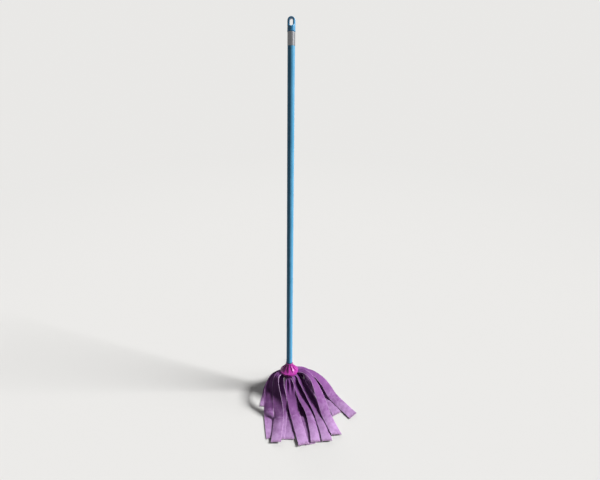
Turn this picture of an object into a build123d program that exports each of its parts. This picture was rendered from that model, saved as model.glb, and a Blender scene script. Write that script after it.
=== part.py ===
from build123d import *
import os
from dataclasses import dataclass
from math import cos, radians, sin, tan

import numpy as np

# Strip mop: a felt strip mop head on a screw-in sleeved steel handle that leans back.
# Millimetres. +Z is up, the floor is z = 0, and the origin is where the handle's axis meets the floor.
# The handle leans towards +Y, and most of the strips lie forward, towards -Y.

# Handle
LEAN = 13.0                   # degrees from upright
SLEEVE_OD = 22.0
SLEEVE_WALL = 0.5
TUBE_WALL = 0.4
TUBE_LENGTH = 1104.0
PRESS_CLEARANCE = 0.05        # radial, between a spigot or a post and its bore

# Foil band just below the cap
BAND_HEIGHT = 36.0
BAND_WALL = 0.2
BAND_GAP = 0.5                # bare sleeve between the band and the cap

# Hanger cap
CAP_OVERHANG = 0.7            # how far the collar stands out past the sleeve
CAP_HEIGHT = 38.5
CAP_RIM = 0.4                 # how far the rim at the collar's foot stands out
CAP_RIM_HEIGHT = 2.5
CAP_COLLAR = 13.0             # round part, below the flattened eye
CAP_SLOPE = 6.0               # height over which the collar narrows to the eye
CAP_EYE_THICKNESS = 14.0
CAP_SLOT_WIDTH = 9.6
CAP_SLOT_HEIGHT = 19.0
CAP_SLOT_ROOF = 4.5           # solid above the slot
CAP_SPIGOT = 24.0
CHAMFER = 1.0

# Thread plug in the handle's foot
THREAD_STEP = 1.0             # how far the flange stands out past the thread
THREAD_LENGTH = 30.0
THREAD_CLEARANCE = 0.05
PLUG_FLANGE = 3.0
PLUG_SPIGOT = 32.0

# Mop socket
CLAMP_HEIGHT = 95.0           # from the floor to the clamp face, along the handle's axis
SOCKET_HEIGHT = 37.0
SOCKET_BASE_OD = 66.0
SOCKET_SKIRT = 5.0            # upright rim at the base
SOCKET_NECK = 7.0             # straight neck at the mouth
SOCKET_NECK_WALL = 2.9
SOCKET_WALL = 2.5
SOCKET_FLARE = 2.2            # how far the bell is hollowed from a straight cone
SOCKET_THREAD_RELIEF = 1.0    # bore beyond the plug's tip
SOCKET_WEB = 3.0              # floor between the thread bore and the post's bore
SOCKET_CREST = 0.5            # width of the cavity's flat top
SOCKET_RIM_DROP = 1.0         # how far the cavity's roof begins below the skirt's top
GUSSETS = 10
GUSSET_THICKNESS = 2.4
GUSSET_ROOT = 1.0             # how deep a gusset is let into the neck
INNER_RIBS = 8
INNER_RIB_THICKNESS = 2.0

# Strip retainer
RETAINER_OD = 44.0
RETAINER_THICKNESS = 4.0
RETAINER_EDGE = 1.5
POST_OD = 14.0
EXIT_MARGIN = 2.0             # flat felt beyond the edge of the clamp or the skirt

# Felt strips
STRIP_WIDTH = 35.0
LAYOUT_WIDTH = 35.0           # strip width that the lengths in the table of tails are given for
STRIP_THICKNESS = 1.5
GATHERED_WIDTH = 22.0         # width where a strip is gathered in the clamp
GATHERED_EXTRA = 0.4          # added thickness beside the post
LIE_GAP = 0.7                 # air between a strip and one that it lies on
POST_GAP = 0.3                # between a tail's inner end and the post
GATHER_SHARE = 0.45           # share of the drop over which a tail spreads to its full width
SECTIONS = 13                 # sections of a tail from the clamp to the floor
PATH_STEPS = 200              # steps in which the length of a drop is measured

# What follows from these
TUBE_OD = SLEEVE_OD - 2 * SLEEVE_WALL
TUBE_ID = TUBE_OD - 2 * TUBE_WALL
SPIGOT_OD = TUBE_ID - 2 * PRESS_CLEARANCE
CAP_OD = SLEEVE_OD + 2 * CAP_OVERHANG
THREAD_OD = SLEEVE_OD - 2 * THREAD_STEP
SPREAD = STRIP_WIDTH / LAYOUT_WIDTH
LAYER_PITCH = STRIP_THICKNESS + GATHERED_EXTRA
PILE_STEP = STRIP_THICKNESS + LIE_GAP
MOUTH = CLAMP_HEIGHT + SOCKET_HEIGHT
TUBE_FOOT = MOUTH + PLUG_FLANGE
TUBE_TOP = TUBE_FOOT + TUBE_LENGTH
POST_RADIUS = POST_OD / 2
BORE_RADIUS = THREAD_OD / 2 + THREAD_CLEARANCE
NECK_RADIUS = BORE_RADIUS + SOCKET_NECK_WALL
BASE_RADIUS = SOCKET_BASE_OD / 2

AXIS = Vector(0, sin(radians(LEAN)), cos(radians(LEAN)))
AXIS_FRAME = Plane(origin=(0, 0, 0), x_dir=(1, 0, 0), z_dir=AXIS)


@dataclass
class Tail:
    """One tail of a strip, as it lies from the clamp to its cut end.

    It leaves the clamp at exit_angle (seen from above, 0 towards +X, -90 towards the viewer), rising by
    `rise` per millimetre from the clamp face, bends over with handle lengths `out` and `back`, touches down
    at (land_x, land_y) and runs straight on along `heading`. It comes down the steeper, the larger `steep`.
    pile counts the strips that it lies on there, and tucked tails turn back under the head. The lengths are
    for a strip of LAYOUT_WIDTH, and go with its width.
    """

    name: str
    layer: int
    length: float
    exit_angle: float
    rise: float
    out: float
    land_x: float
    land_y: float
    back: float
    steep: float
    heading: float
    pile: int = 0
    tucked: bool = False


TAILS = [
    Tail("strip_1_right_tail", 0, 312, 10, 0.34, 62, 146, -98, 36, 26, -64, pile=3),
    Tail("strip_1_left_tail", 0, 296, -160, 0.46, 34, -28, -114, 8, 58, -89, pile=2),
    Tail("strip_2_right_tail", 1, 320, 22, -0.14, 78, 164, -10, 26, 38, -46, pile=1),
    Tail("strip_2_left_tail", 1, 302, 178, -0.22, 54, -71, -92, 4, 60, -75),
    Tail("strip_3_right_tail", 2, 294, 44, -0.26, 60, 140, 6, 20, 24, -65),
    Tail("strip_3_left_tail", 2, 263, -146, -3.0, 9, -20, -88, 30, 26, -90, pile=1),
    Tail("strip_4_right_tail", 3, 298, -10, -1.7, 26, 126, -96, 34, 24, -78, pile=2),
    Tail("strip_4_left_tail", 3, 204, 166, -0.7, 40, -85, -12, 20, 10, -92),
    Tail("strip_5_front_tail", 4, 285, -38, -13.0, 4.5, 98, -98, 34, 24, -84, pile=1),
    Tail("strip_5_back_tail", 4, 185, 138, -1.1, 32, -53, 30, 28, 0, -80, tucked=True),
    Tail("strip_6_front_tail", 5, 272, -88, -4.8, 6, 28, -92, 34, 22, -71, pile=1),
    Tail("strip_6_back_tail", 5, 236, 72, -0.1, 55, 30, 55, 55, 0, -108, tucked=True),
    Tail("strip_7_front_tail", 6, 282, -40, -7.0, 4.5, 58, -72, 32, 0, -76),
    Tail("strip_7_back_tail", 6, 195, 104, -0.6, 30, -9, 80, 30, 0, 91),
    Tail("strip_8_front_tail", 7, 255, -92, -5.0, 4.5, 14, -66, 30, 2, -88),
    Tail("strip_8_back_tail", 7, 190, 40, -0.4, 40, 73, 40, 24, 8, -60),
]
LAYERS = max(tail.layer for tail in TAILS) + 1
STACK_FOOT = CLAMP_HEIGHT - LAYERS * LAYER_PITCH
# The lowest tails bend down at the clamp's edge, and the others lie over them, out to the socket's skirt
CLAMP_REACH = RETAINER_OD / 2 + EXIT_MARGIN
SKIRT_REACH = BASE_RADIUS + EXIT_MARGIN


def on_axis(shape, height):
    """The shape, made on XY round Z, set on the handle's axis at this height along it."""
    return AXIS_FRAME * Pos(0, 0, height) * shape


def ring(outer_d, inner_d, height):
    """A tube along Z that stands on XY."""
    align = (Align.CENTER, Align.CENTER, Align.MIN)
    return Cylinder(outer_d / 2, height, align=align) - Cylinder(inner_d / 2, height, align=align)


def rod(diameter, height):
    """A round rod along Z that stands on XY."""
    return Cylinder(diameter / 2, height, align=(Align.CENTER, Align.CENTER, Align.MIN))


def turned(points):
    """A solid of revolution round Z of a closed outline of (radius, height) points."""
    face = make_face(Polyline([Vector(r, 0, z) for r, z in points], close=True))
    return revolve(face, Axis.Z)


def handle_pieces():
    """Tube, sleeve, foil band and hanger cap."""
    tube = ring(TUBE_OD, TUBE_ID, TUBE_LENGTH)
    sleeve = ring(SLEEVE_OD, TUBE_OD, TUBE_LENGTH)
    band = ring(SLEEVE_OD + 2 * BAND_WALL, SLEEVE_OD, BAND_HEIGHT)
    return {
        "steel_tube": on_axis(tube, TUBE_FOOT),
        "blue_sleeve": on_axis(sleeve, TUBE_FOOT),
        "foil_band": on_axis(band, TUBE_TOP - BAND_GAP - BAND_HEIGHT),
        "hanger_cap": on_axis(hanger_cap(), TUBE_TOP),
    }


def hanger_cap():
    """Round collar that narrows to a flat eye with a rounded top, a hanging slot, and a spigot below."""
    radius = CAP_OD / 2
    body = rod(CAP_OD, CAP_HEIGHT)
    # Seen from the front the top is a half circle
    front = Pos(0, (CAP_HEIGHT - radius) / 2) * Rectangle(CAP_OD, CAP_HEIGHT - radius)
    front += Pos(0, CAP_HEIGHT - radius) * Circle(radius)
    body &= extrude(Plane.XZ * front, amount=CAP_OD, both=True)
    # Seen from the side the collar narrows to the eye
    half = CAP_EYE_THICKNESS / 2
    shoulder = CAP_COLLAR + CAP_SLOPE
    side = make_face(Polyline(
        (-radius, 0), (radius, 0), (radius, CAP_COLLAR), (half, shoulder),
        (half, CAP_HEIGHT), (-half, CAP_HEIGHT), (-half, shoulder), (-radius, CAP_COLLAR), close=True))
    body &= extrude(Plane.YZ * side, amount=CAP_OD, both=True)
    slot_centre = CAP_HEIGHT - CAP_SLOT_ROOF - CAP_SLOT_HEIGHT / 2
    slot = Pos(0, slot_centre) * Rot(0, 0, 90) * SlotOverall(CAP_SLOT_HEIGHT, CAP_SLOT_WIDTH)
    body -= extrude(Plane.XZ * slot, amount=CAP_OD, both=True)
    body += rod(CAP_OD + 2 * CAP_RIM, CAP_RIM_HEIGHT)
    spigot = chamfer(rod(SPIGOT_OD, CAP_SPIGOT).edges().sort_by(Axis.Z)[0], CHAMFER)
    return body + Pos(0, 0, -CAP_SPIGOT) * spigot


def thread_plug():
    """Spigot for the tube, flange, and the round tip that carries the thread, from the tip's end up."""
    tip = chamfer(rod(THREAD_OD, THREAD_LENGTH).edges().sort_by(Axis.Z)[0], CHAMFER)
    flange = Pos(0, 0, THREAD_LENGTH) * rod(SLEEVE_OD, PLUG_FLANGE)
    spigot = chamfer(rod(SPIGOT_OD, PLUG_SPIGOT).edges().sort_by(Axis.Z)[-1], CHAMFER)
    return tip + flange + Pos(0, 0, THREAD_LENGTH + PLUG_FLANGE) * spigot


def mop_socket():
    """Bell-shaped socket: neck, hollowed flare with outer gussets, open base with inner ribs, thread bore."""
    flare_top = SOCKET_HEIGHT - SOCKET_NECK
    middle_r = (BASE_RADIUS + NECK_RADIUS) / 2 - SOCKET_FLARE
    middle_z = (SOCKET_SKIRT + flare_top) / 2 - SOCKET_FLARE
    body = turned([
        (0, 0), (BASE_RADIUS, 0), (BASE_RADIUS, SOCKET_SKIRT), (middle_r, middle_z),
        (NECK_RADIUS, flare_top), (0, flare_top)])
    body += Pos(0, 0, flare_top) * rod(2 * NECK_RADIUS, SOCKET_NECK)
    # Outer gussets bridge the hollow of the bell in a straight line from neck to skirt
    web = make_face(Polyline(
        (NECK_RADIUS - GUSSET_ROOT, SOCKET_SKIRT / 2), (BASE_RADIUS, SOCKET_SKIRT / 2),
        (BASE_RADIUS, SOCKET_SKIRT), (NECK_RADIUS, flare_top), (NECK_RADIUS - GUSSET_ROOT, flare_top),
        close=True))
    gusset = extrude(Plane.XZ * web, amount=GUSSET_THICKNESS / 2, both=True)
    for turn in range(GUSSETS):
        body += Rot(0, 0, 360 / GUSSETS * (turn + 0.5)) * gusset
    # The base is open below, round the boss that holds the thread and the retainer's post
    boss = BORE_RADIUS + SOCKET_WALL
    inner = BASE_RADIUS - SOCKET_WALL
    cavity_top = flare_top - 2 * SOCKET_WALL - SOCKET_FLARE
    cavity = turned([
        (boss, 0), (inner, 0), (inner, SOCKET_SKIRT - SOCKET_RIM_DROP),
        (boss + SOCKET_CREST, cavity_top), (boss, cavity_top)])
    rib = Box(INNER_RIB_THICKNESS, 2 * BASE_RADIUS, 2 * SOCKET_HEIGHT)
    for turn in range(INNER_RIBS // 2):
        cavity -= Rot(0, 0, 180 / (INNER_RIBS // 2) * turn) * rib
    body -= cavity
    bore_depth = THREAD_LENGTH + SOCKET_THREAD_RELIEF
    bore_foot = SOCKET_HEIGHT - bore_depth
    body -= Pos(0, 0, bore_foot) * rod(2 * BORE_RADIUS, bore_depth)
    body -= rod(POST_OD + 2 * PRESS_CLEARANCE, bore_foot - SOCKET_WEB)
    return body


def strip_retainer():
    """Disc with bevelled edges under the strips, and the post through them up to the socket's web."""
    post_length = LAYERS * LAYER_PITCH + SOCKET_HEIGHT - THREAD_LENGTH - SOCKET_THREAD_RELIEF - SOCKET_WEB
    disc = rod(RETAINER_OD, RETAINER_THICKNESS)
    disc = chamfer(disc.edges().filter_by(GeomType.CIRCLE), RETAINER_EDGE)
    post = chamfer(rod(POST_OD, post_length).edges().sort_by(Axis.Z)[-1], CHAMFER / 2)
    return disc + Pos(0, 0, RETAINER_THICKNESS) * post


def flat(angle):
    """Level unit vector at this angle from +X towards +Y, in degrees."""
    return np.array([cos(radians(angle)), sin(radians(angle)), 0.0])


def unit(vector):
    """The vector at length 1."""
    return vector / np.linalg.norm(vector)


def smooth(share):
    """Eased 0 to 1 over the same range."""
    share = min(max(share, 0.0), 1.0)
    return share * share * (3 - 2 * share)


def section(place, across, direction, width, thickness):
    """Cross-section of a strip at a place, square to its direction."""
    plane = Plane(origin=tuple(place), x_dir=tuple(across), z_dir=tuple(direction))
    return plane * Rectangle(width, thickness)


def felt_tail(tail):
    """One tail: a gathered tab in the clamp, a drop along a space curve, and a straight run on the floor."""
    axis = np.array(tuple(AXIS))
    leave = flat(tail.exit_angle)
    exit_reach = SKIRT_REACH - (SKIRT_REACH - CLAMP_REACH) * tail.layer / (LAYERS - 1)
    # On the clamp face, which leans with the handle, a level direction dips by this much per millimetre
    dip = -tan(radians(LEAN)) * leave[1]
    in_plane = unit(leave + [0, 0, dip])
    across_clamp = unit(np.cross(axis, leave))
    centre = axis * (CLAMP_HEIGHT - (tail.layer + 0.5) * LAYER_PITCH)
    start = centre + exit_reach * (leave + [0, 0, dip])
    heading = flat(tail.heading)
    across_floor = np.array([-heading[1], heading[0], 0.0])
    land = np.array([
        tail.land_x * SPREAD, tail.land_y * SPREAD, STRIP_THICKNESS / 2 + tail.pile * PILE_STEP])
    pull_out = start + tail.out * SPREAD * (leave + [0, 0, dip + tail.rise])
    pull_in = land - tail.back * SPREAD * heading + [0, 0, tail.steep * SPREAD]

    def place(u):
        v = 1 - u
        return v**3 * start + 3 * u * v**2 * pull_out + 3 * u**2 * v * pull_in + u**3 * land

    def along(u):
        v = 1 - u
        return unit(v**2 * (pull_out - start) + 2 * u * v * (pull_in - pull_out) + u**2 * (land - pull_in))

    steps = np.linspace(0, 1, PATH_STEPS + 1)
    fine = np.array([place(u) for u in steps])
    drop = np.linalg.norm(np.diff(fine, axis=0), axis=1)
    covered = np.concatenate([[0], np.cumsum(drop)]) / drop.sum()
    floor_run = tail.length * SPREAD - exit_reach - drop.sum()

    # Sections: the tab's inner end, the drop from the clamp to the floor, the cut end
    tab = exit_reach * np.linalg.norm(leave + [0, 0, dip]) - POST_RADIUS - POST_GAP
    faces = [section(start - tab * in_plane, across_clamp, in_plane, GATHERED_WIDTH, LAYER_PITCH)]
    for share in np.linspace(0, 1, SECTIONS):
        u = float(np.interp(share, covered, steps))
        direction = in_plane if share == 0 else along(u)
        if share == 1:
            direction = unit(direction + heading)
        if tail.tucked:
            across = across_clamp * (1 - share) - across_floor * share
        else:
            level = unit(np.cross([0, 0, 1], direction))
            across = across_clamp * (1 - smooth(share)) + level * smooth(share)
        across = unit(across - (across @ direction) * direction)
        width = GATHERED_WIDTH + (STRIP_WIDTH - GATHERED_WIDTH) * smooth(share / GATHER_SHARE)
        faces.append(section(place(u), across, direction, width, STRIP_THICKNESS))
    end_across = -across_floor if tail.tucked else across_floor
    faces.append(section(land + floor_run * heading, end_across, heading, STRIP_WIDTH, STRIP_THICKNESS))
    return loft(faces, ruled=True)


def all_pieces():
    """Every piece by its name."""
    pieces = handle_pieces()
    pieces["thread_plug"] = on_axis(thread_plug(), MOUTH - THREAD_LENGTH)
    pieces["mop_socket"] = on_axis(mop_socket(), CLAMP_HEIGHT)
    pieces["strip_retainer"] = on_axis(strip_retainer(), STACK_FOOT - RETAINER_THICKNESS)
    for tail in TAILS:
        pieces[tail.name] = felt_tail(tail)
    return pieces


os.makedirs("parts", exist_ok=True)
for name, piece in all_pieces().items():
    export_step(piece, f"parts/{name}.step")
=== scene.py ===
"""Looks of a strip mop: lilac felt tails, a ribbed magenta socket, a blue sleeved handle and a hanger cap.

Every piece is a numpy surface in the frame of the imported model, in metres. Sizes of the mop's pieces are
given in millimetres, and those of the studio in metres.
"""
import logging
import math
from dataclasses import dataclass, field
from enum import Enum

import bmesh
import bpy
import numpy as np
from mathutils import Matrix


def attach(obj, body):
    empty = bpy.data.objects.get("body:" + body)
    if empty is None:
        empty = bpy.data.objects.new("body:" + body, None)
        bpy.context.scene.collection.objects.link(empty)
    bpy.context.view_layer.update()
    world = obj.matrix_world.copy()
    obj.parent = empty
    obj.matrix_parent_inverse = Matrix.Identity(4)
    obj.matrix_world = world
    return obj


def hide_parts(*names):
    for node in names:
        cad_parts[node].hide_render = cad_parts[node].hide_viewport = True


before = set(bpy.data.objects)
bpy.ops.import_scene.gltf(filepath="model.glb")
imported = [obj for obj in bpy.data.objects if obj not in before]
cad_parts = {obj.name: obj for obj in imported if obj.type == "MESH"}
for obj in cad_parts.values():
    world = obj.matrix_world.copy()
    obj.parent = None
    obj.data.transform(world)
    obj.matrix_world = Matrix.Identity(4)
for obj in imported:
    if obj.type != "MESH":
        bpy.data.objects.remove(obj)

LOG = logging.getLogger("strip_mop")
MM = 0.001
FULL_TURN = 2 * np.pi
UP = np.array([0.0, 0.0, 1.0])
# The handle leans back by this angle, which gives its axis and the way across it
LEAN = math.radians(13.0)
AXIS = np.array([0.0, math.sin(LEAN), math.cos(LEAN)])
ACROSS_AXIS = np.array([0.0, math.cos(LEAN), -math.sin(LEAN)])
# Points that are closer together than this, in metres, are one point
WELD = 1e-7
# Keeps a divisor away from zero
TINY = 1e-9
# Sockets of a colour Mix node by number, because its names stand for several kinds of value
MIX_SHARE, MIX_FIRST, MIX_SECOND, MIX_RESULT = 0, 6, 7, 2


class Body(Enum):
    """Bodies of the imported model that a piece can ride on."""

    HEAD = "mop_head"
    PLUG = "plug"
    HANDLE = "handle"


class Hold(Enum):
    """How a felt tail is held along its length."""

    DRAPED = "draped"
    FOLDED = "folded"


# Small helpers


def linear(hex_colour: str) -> tuple[float, float, float, float]:
    """Turns an sRGB hex colour into a linear colour with full alpha.

    Args:
        hex_colour: six hex digits after a hash sign.

    Returns:
        Red, green, blue and alpha from 0 to 1.
    """
    shares = [int(hex_colour[k : k + 2], 16) / 255 for k in (1, 3, 5)]
    red, green, blue = (c / 12.92 if c <= 0.04045 else ((c + 0.055) / 1.055) ** 2.4 for c in shares)
    return red, green, blue, 1.0


def eased(share: np.ndarray) -> np.ndarray:
    """Cubic ease of a share from 0 to 1, held at 0 before and at 1 after."""
    share = np.clip(share, 0.0, 1.0)
    return share * share * (3 - 2 * share)


def ramp(value: np.ndarray, first: float, last: float) -> np.ndarray:
    """Eases from 0 where the value is first to 1 where it is last."""
    return eased((value - first) / (last - first))


def unit(vectors: np.ndarray) -> np.ndarray:
    """The vectors at length 1, along their last axis."""
    return vectors / np.linalg.norm(vectors, axis=-1, keepdims=True)


def flat(angle: float) -> np.ndarray:
    """Level unit vector at an angle in degrees from +X towards +Y."""
    return np.array([math.cos(math.radians(angle)), math.sin(math.radians(angle)), 0.0])


def ring_angles(count: int) -> np.ndarray:
    """Evenly spaced angles once round, in radians."""
    return np.linspace(0, FULL_TURN, count, endpoint=False)


def squared(wave: np.ndarray, exponent: float) -> np.ndarray:
    """Power of a wave with its sign kept. On a cosine and a sine it turns the circle to a rounded square."""
    return np.sign(wave) * np.abs(wave) ** (2 / exponent)


def wander(along: np.ndarray, period: float, rng: np.random.Generator) -> np.ndarray:
    """Smooth noise: four sines whose periods are 1, 0.61, 0.37 and 0.23 of the given one, with seeded phases.

    Args:
        along: places to read it at, of any shape.
        period: longest period, in the unit of along.
        rng: source of the phases.

    Returns:
        Noise of the same shape, mostly from -1 to 1.
    """
    total = np.zeros_like(along)
    for share, size in ((1.0, 0.5), (0.61, 0.3), (0.37, 0.2), (0.23, 0.12)):
        total += size * np.sin(FULL_TURN * along / (period * share) + rng.uniform(0, FULL_TURN))
    return total


def thread_groove(height: np.ndarray, angle: np.ndarray, pitch: float, steepness: float = 1.1) -> np.ndarray:
    """Share of the depth of a rounded helical groove.

    It is an eased cosine of height / pitch minus angle / full turn.

    Args:
        height: height of each ring, as a column.
        angle: angle of each point of a ring, in radians.
        pitch: rise of the helix in one turn.
        steepness: how quickly the groove's sides go down.

    Returns:
        Share from 0 to 1, a row for each ring.
    """
    phase = height / pitch - angle[None, :] / FULL_TURN
    return eased(0.5 - steepness * np.cos(FULL_TURN * phase))


def on_axis(points: np.ndarray, height: float) -> np.ndarray:
    """Sets points made round Z on the handle's leaning axis.

    Args:
        points: places in millimetres, last axis x, y, z.
        height: distance along the axis from the floor, in millimetres.

    Returns:
        The places in metres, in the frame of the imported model.
    """
    x, y, z = points[..., 0:1], points[..., 1:2], points[..., 2:3] + height
    return MM * (x * np.array([1.0, 0.0, 0.0]) + y * ACROSS_AXIS + z * AXIS)


def round_points(radius: np.ndarray, angle: np.ndarray, height: np.ndarray) -> np.ndarray:
    """Places at a radius, an angle in radians and a height, broadcast together."""
    radius, angle, height = np.broadcast_arrays(radius, angle, height)
    return np.stack([radius * np.cos(angle), radius * np.sin(angle), height], axis=-1)


def grid_faces(rows: int, columns: int, wrap_rows: bool = False, wrap_columns: bool = False) -> np.ndarray:
    """Quads between neighbouring points of a grid that is stored row by row.

    Args:
        rows: number of rows.
        columns: number of points in a row.
        wrap_rows: whether the last row joins the first.
        wrap_columns: whether the last point of a row joins its first.

    Returns:
        Four point numbers for each quad.
    """
    row, column = np.meshgrid(
        np.arange(rows if wrap_rows else rows - 1),
        np.arange(columns if wrap_columns else columns - 1),
        indexing="ij",
    )
    next_row, next_column = (row + 1) % rows, (column + 1) % columns
    corners = [
        row * columns + column,
        row * columns + next_column,
        next_row * columns + next_column,
        next_row * columns + column,
    ]
    return np.stack(corners, axis=-1).reshape(-1, 4)


def make_piece(
    name: str,
    points: np.ndarray,
    faces: np.ndarray,
    material: bpy.types.Material,
    sharp: float = 40.0,
    uv: np.ndarray | None = None,
    marks: dict[str, np.ndarray] | None = None,
    weld: bool = False,
) -> bpy.types.Object:
    """Makes a smooth-shaded mesh object at the origin, with its place in its mesh.

    Args:
        name: the piece's name.
        points: places in metres, one row each.
        faces: four point numbers for each quad.
        material: the piece's finish.
        sharp: angle between faces, in degrees, above which an edge stays sharp.
        uv: flat place of each point, in metres.
        marks: values for each point, by the name of the attribute.
        weld: whether points that share one place, as at a pole, become one.

    Returns:
        The new object.
    """
    mesh = bpy.data.meshes.new(name)
    mesh.from_pydata(points, [], faces)
    mesh.polygons.foreach_set("use_smooth", np.ones(len(faces), dtype=bool))
    if uv is not None:
        layer = mesh.uv_layers.new(name="cut")
        layer.data.foreach_set("uv", uv[faces.ravel()].astype(np.float32).ravel())
    for mark, values in (marks or {}).items():
        attribute = mesh.attributes.new(mark, "FLOAT", "POINT")
        attribute.data.foreach_set("value", values.astype(np.float32).ravel())
    if weld:
        shell = bmesh.new()
        shell.from_mesh(mesh)
        bmesh.ops.remove_doubles(shell, verts=shell.verts, dist=WELD)
        shell.to_mesh(mesh)
        shell.free()
    mesh.update()
    mesh.set_sharp_from_angle(angle=math.radians(sharp))
    mesh.materials.append(material)
    piece = bpy.data.objects.new(name, mesh)
    bpy.context.scene.collection.objects.link(piece)
    return piece


def turned_piece(
    name: str,
    radius: np.ndarray,
    angle: np.ndarray,
    height: np.ndarray,
    foot: float,
    material: bpy.types.Material,
    sharp: float = 40.0,
    tube: bool = False,
) -> bpy.types.Object:
    """Makes a closed piece from rings round the handle's axis.

    Args:
        name: the piece's name.
        radius: radius of each point in millimetres, a row for each ring.
        angle: angle of each point of a ring, in radians.
        height: height of each ring above the foot, in millimetres.
        foot: distance of the foot along the axis from the floor, in millimetres.
        material: the piece's finish.
        sharp: angle between faces, in degrees, above which an edge stays sharp.
        tube: whether the last ring joins the first by an inner wall. If not, both are poles.

    Returns:
        The new object.
    """
    points = on_axis(round_points(radius, angle[None, :], height.reshape(-1, 1)), foot)
    faces = grid_faces(*points.shape[:2], wrap_rows=tube, wrap_columns=True)
    return make_piece(name, points.reshape(-1, 3), faces, material, sharp, weld=not tube)


def settle(piece: bpy.types.Object, body: Body, node: str) -> bpy.types.Object:
    """Lets a finished piece ride on its body and stand for its node.

    Args:
        piece: the finished piece.
        body: the body that carries it.
        node: the node that it stands for.

    Returns:
        The same piece.
    """
    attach(piece, body.value)
    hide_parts(node)
    LOG.info("%s: %d faces", piece.name, len(piece.data.polygons))
    return piece


def dress_node(node: str, material: bpy.types.Material) -> None:
    """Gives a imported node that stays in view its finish.

    Args:
        node: the node's name.
        material: its finish.
    """
    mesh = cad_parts[node].data
    mesh.materials.clear()
    mesh.materials.append(material)
    LOG.info("%s: dressed", node)


def add_node(
    tree: bpy.types.NodeTree,
    kind: str,
    settings: dict[str | int, object] | None = None,
    links: dict[str | int, bpy.types.NodeSocket] | None = None,
) -> bpy.types.Node:
    """Adds one shader node with its settings and links.

    Args:
        tree: the material's node tree.
        kind: the node's type without its common prefix.
        settings: properties of the node, or values of its inputs by name or number.
        links: outputs that go into its inputs, by the input's name or number.

    Returns:
        The new node.
    """
    node = tree.nodes.new("ShaderNode" + kind)
    for key, value in (settings or {}).items():
        if isinstance(key, str) and hasattr(node, key):
            setattr(node, key, value)
        else:
            node.inputs[key].default_value = value
    for key, output in (links or {}).items():
        tree.links.new(output, node.inputs[key])
    return node


# Finishes


@dataclass(frozen=True)
class Finish:
    """A material with one shader: its name, its main colour and how rough it is."""

    name: str
    colour: str
    roughness: float

    def begin(self, settings: dict[str | int, object]) -> tuple[bpy.types.Material, bpy.types.Node]:
        """Starts the material.

        Args:
            settings: constant inputs of the shader.

        Returns:
            The material and its shader node.
        """
        material = bpy.data.materials.new(self.name)
        material.use_nodes = True
        tree = material.node_tree
        tree.nodes.clear()
        constants = {"Base Color": linear(self.colour), "Roughness": self.roughness}
        shader = add_node(tree, "BsdfPrincipled", constants | settings)
        add_node(tree, "OutputMaterial", links={"Surface": shader.outputs["BSDF"]})
        return material, shader


@dataclass(frozen=True)
class NeedledFelt(Finish):
    """Needle-punched viscose felt: soft and matt, painted shade where it is gathered, painted light towards
    the cut end.

    Its fibres are mottled, the last centimetre is soiled, and a pale line along the cut edges is undyed fibre
    ends and painted highlight.
    """

    # The first two colours are painted shade at the clamp and painted light at the cut end, with the felt's
    # colour between them
    deep: str = "#74407F"
    painted_light: str = "#C79ED2"
    pale: str = "#E6C4EA"
    soiled: str = "#7C5A78"
    nap_tint: str = "#E8C8F0"
    painted_ramp_middle: float = 0.55
    pale_share: float = 0.7
    mottle_mm: float = 20.0
    nap_mm: float = 1.6

    def make(self) -> bpy.types.Material:
        """Builds the felt from the tail's flat coordinates, so that the nap follows the cloth.

        Returns:
            The material.
        """
        material, shader = self.begin({
            "Sheen Weight": 0.15,
            "Sheen Roughness": 0.4,
            "Sheen Tint": linear(self.nap_tint),
            "Specular IOR Level": 0.1,
        })
        tree = material.node_tree
        cut = add_node(tree, "UVMap", {"uv_map": "cut"})
        # Patches of thicker and thinner fibre
        mottle = add_node(
            tree, "TexNoise", {"Scale": 1000 / self.mottle_mm, "Detail": 4.0, "Roughness": 0.65},
            {"Vector": cut.outputs["UV"]})
        patchy = add_node(
            tree, "MapRange", {"From Min": 0.3, "From Max": 0.7, "To Min": -0.17, "To Max": 0.17},
            {"Value": mottle.outputs["Fac"]})
        # Painted shade and light along the tail: 0 at the clamp, painted dark, and 1 at the cut end, painted
        # pale
        painted_shade_and_light = add_node(tree, "Attribute", {"attribute_name": "painted_shade_and_light"})
        painted_light = add_node(tree, "Math", {}, {0: painted_shade_and_light.outputs["Fac"], 1: patchy.outputs["Result"]})
        # The ramp paints shade near the clamp and light towards the cut end, shifted by the mottle
        body = add_node(tree, "ValToRGB", links={"Fac": painted_light.outputs["Value"]})
        ramp_colours = body.color_ramp.elements
        ramp_colours[0].color = linear(self.deep)
        ramp_colours[1].color = linear(self.painted_light)
        ramp_colours.new(self.painted_ramp_middle).color = linear(self.colour)
        # Dirt from the floor on the cut end
        dirt = add_node(tree, "Attribute", {"attribute_name": "soil"})
        dusty = add_node(
            tree, "Mix", {"data_type": "RGBA", MIX_SECOND: linear(self.soiled)},
            {MIX_SHARE: dirt.outputs["Fac"], MIX_FIRST: body.outputs["Color"]})
        # The cut edges are pale: the undyed ends of the fibres, and a painted highlight where the edges catch
        # the light
        edge = add_node(tree, "Attribute", {"attribute_name": "cut_edge"})
        soft_edge = add_node(
            tree, "Math", {"operation": "MULTIPLY", 1: self.pale_share}, {0: edge.outputs["Fac"]})
        colour = add_node(
            tree, "Mix", {"data_type": "RGBA", MIX_SECOND: linear(self.pale)},
            {MIX_SHARE: soft_edge.outputs["Value"], MIX_FIRST: dusty.outputs[MIX_RESULT]})
        tree.links.new(colour.outputs[MIX_RESULT], shader.inputs["Base Color"])
        # Nap, drawn coarser than the real 0.3 mm so that it shows
        nap = add_node(
            tree, "TexNoise", {"Scale": 1000 / self.nap_mm, "Detail": 5.0, "Roughness": 0.7},
            {"Vector": cut.outputs["UV"]})
        bump = add_node(
            tree, "Bump", {"Strength": 0.5, "Distance": 0.0006}, {"Height": nap.outputs["Fac"]})
        tree.links.new(bump.outputs["Normal"], shader.inputs["Normal"])
        return material


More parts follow.
